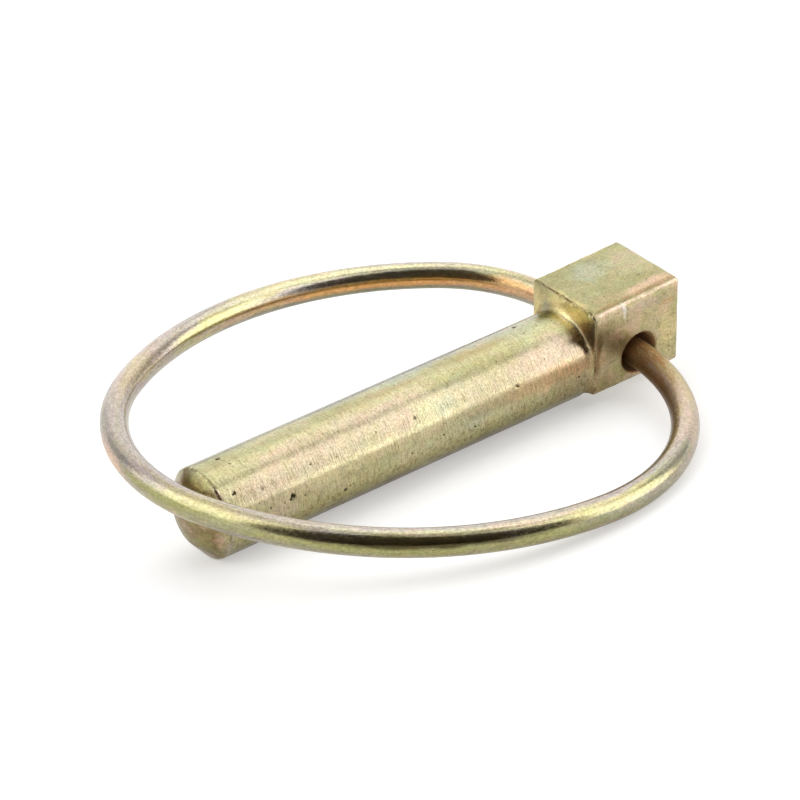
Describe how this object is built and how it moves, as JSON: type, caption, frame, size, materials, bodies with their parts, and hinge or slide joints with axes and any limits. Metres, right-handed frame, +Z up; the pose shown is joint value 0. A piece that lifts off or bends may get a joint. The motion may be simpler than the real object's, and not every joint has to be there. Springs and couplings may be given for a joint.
{
  "type": "lynch pin",
  "caption": "Lynch pin: a round forged pin with a square head, and a sprung wire ring that swings in a cross hole and snaps over the tip.",
  "frame": {"origin": "on the axis of the shank, at the shoulder face of the head", "axes": "+X along the shank to its free end, +Z up, the near side of the ring towards +Y; the whole pin lies rolled 10 degrees about X, on its shank and the near side of the ring"},
  "size_m": [0.0647, 0.0559, 0.0134],
  "materials": {
    "plated_forging": "zinc plated and yellow passivated, satin, with green and pink tints",
    "plated_wire": "zinc plated and yellow passivated drawn wire, bright satin"
  },
  "bodies": {
    "pin_body": {"pin": "plated_forging"},
    "ring_body": {"ring": "plated_wire"}
  },
  "joints": [
    {"name": "ring_swing", "type": "hinge", "parent": "pin_body", "child": "ring_body", "pos_m": [-0.0061, 0.00001, 0.00005], "axis": [0, -0.9844, 0.1759], "range_deg": [0, 352.6]}
  ]
}
